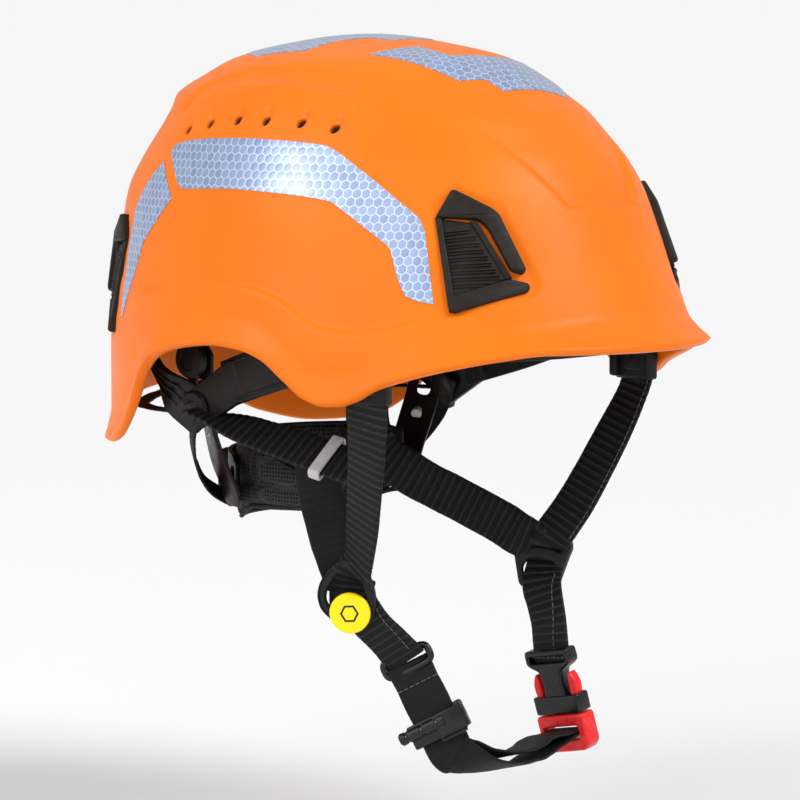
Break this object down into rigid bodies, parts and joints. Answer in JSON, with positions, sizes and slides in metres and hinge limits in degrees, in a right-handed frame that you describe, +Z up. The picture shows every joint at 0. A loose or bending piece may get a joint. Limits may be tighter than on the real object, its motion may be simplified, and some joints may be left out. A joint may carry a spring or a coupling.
{
  "type": "climbing helmet",
  "caption": "Hard shell work-at-height helmet with foam liner, adjustable nape cradle, lamp clips and a four-point chin harness with side-release buckle.",
  "frame": {"origin": "centre of the headband plane, where the wearer's head sits, on the middle plane of the helmet", "axes": "+Z up through the crown, -Y towards the brim at the front, -X towards the wearer's right"},
  "size_m": [0.2134, 0.2842, 0.3116],
  "materials": {
    "shell_orange": "moulded, satin gloss",
    "liner_black": "expanded foam",
    "pad_mesh": "spacer mesh",
    "webbing_black": "woven webbing",
    "plastic_black": "fine grained",
    "gloss_black": "polished",
    "arm_brown": "flexible, satin",
    "rivet_white": "smooth",
    "cap_yellow": "smooth",
    "buckle_red": "smooth",
    "keeper_grey": "smooth",
    "decal_silver": "reflective film"
  },
  "bodies": {
    "helmet": {"shell": "shell_orange", "liner": "liner_black", "crown_pad": "pad_mesh", "headband": "plastic_black", "brow_pad": "pad_mesh", "hanger_front_left": "gloss_black", "hanger_front_right": "gloss_black", "hanger_rear_left": "plastic_black", "hanger_rear_right": "plastic_black", "clip_front_left": "plastic_black", "clip_front_right": "plastic_black", "clip_rear_left": "plastic_black", "clip_rear_right": "plastic_black", "nape_strap": "webbing_black", "strap_front_left": "webbing_black", "strap_front_right": "webbing_black", "strap_rear_left": "webbing_black", "strap_rear_right": "webbing_black", "strap_rear_right_lower": "webbing_black", "divider_left": "plastic_black", "divider_right": "plastic_black", "divider_cap_left": "cap_yellow", "divider_cap_right": "cap_yellow", "chin_strap_right": "webbing_black", "chin_ring": "gloss_black", "chin_strap_lower": "webbing_black", "chin_loop": "webbing_black", "chin_strap_left": "webbing_black", "buckle_socket": "gloss_black"},
    "cradle": {"arm_left": "arm_brown", "arm_right": "arm_brown", "arm_rivets": "rivet_white", "cradle_strap_left": "webbing_black", "cradle_strap_right": "webbing_black", "nape_housing": "plastic_black", "nape_pad": "pad_mesh"},
    "knob": {"size_knob": "plastic_black", "knob_pinion": "rivet_white"},
    "rack_upper": {"rack_left": "plastic_black"},
    "rack_lower": {"rack_right": "plastic_black"},
    "plug": {"buckle_plug": "buckle_red"},
    "prong_f": {"prong_front": "buckle_red"},
    "prong_b": {"prong_back": "buckle_red"},
    "lock": {"ladder_lock": "gloss_black"},
    "keeper": {"strap_keeper": "keeper_grey"}
  },
  "joints": [
    {"name": "cradle_swing", "type": "hinge", "parent": "helmet", "child": "cradle", "pos_m": [0, 0.05, -0.016], "axis": [1, 0, 0], "range_deg": [-6, 6]},
    {"name": "size_knob_spin", "type": "hinge", "parent": "cradle", "child": "knob", "pos_m": [0, 0.09, -0.072], "axis": [0, 1, 0], "range_deg": [-90, 90]},
    {"name": "rack_upper_slide", "type": "slide", "parent": "cradle", "child": "rack_upper", "axis": [1, 0, 0], "range_m": [-0.008, 0.008]},
    {"name": "rack_lower_slide", "type": "slide", "parent": "cradle", "child": "rack_lower", "axis": [-1, 0, 0], "range_m": [-0.008, 0.008]},
    {"name": "buckle_slide", "type": "slide", "parent": "helmet", "child": "plug", "axis": [0.1703, -0.1643, -0.9716], "range_m": [0, 0.024], "deforming": ["chin_loop"]},
    {"name": "prong_front_press", "type": "hinge", "parent": "plug", "child": "prong_f", "pos_m": [0.05867, -0.04984, -0.17107], "axis": [-0.9854, -0.029, -0.1678], "range_deg": [0, 6], "stiffness_Nm_per_rad": 0.05},
    {"name": "prong_back_press", "type": "hinge", "parent": "plug", "child": "prong_b", "pos_m": [0.05866, -0.03189, -0.17411], "axis": [0.9854, 0.029, 0.1678], "range_deg": [0, 6], "stiffness_Nm_per_rad": 0.05},
    {"name": "ladder_lock_slide", "type": "slide", "parent": "helmet", "child": "lock", "axis": [-0.1695, 0.4407, 0.8815], "range_m": [-0.003, 0.01]},
    {"name": "keeper_slide", "type": "slide", "parent": "helmet", "child": "keeper", "axis": [-0.265, 0.9271, 0.265], "range_m": [-0.005, 0.01]}
  ],
  "couplings": [
    {"joint": "rack_upper_slide", "follows": "size_knob_spin", "m_per_rad": 0.005},
    {"joint": "rack_lower_slide", "follows": "size_knob_spin", "m_per_rad": 0.005}
  ]
}
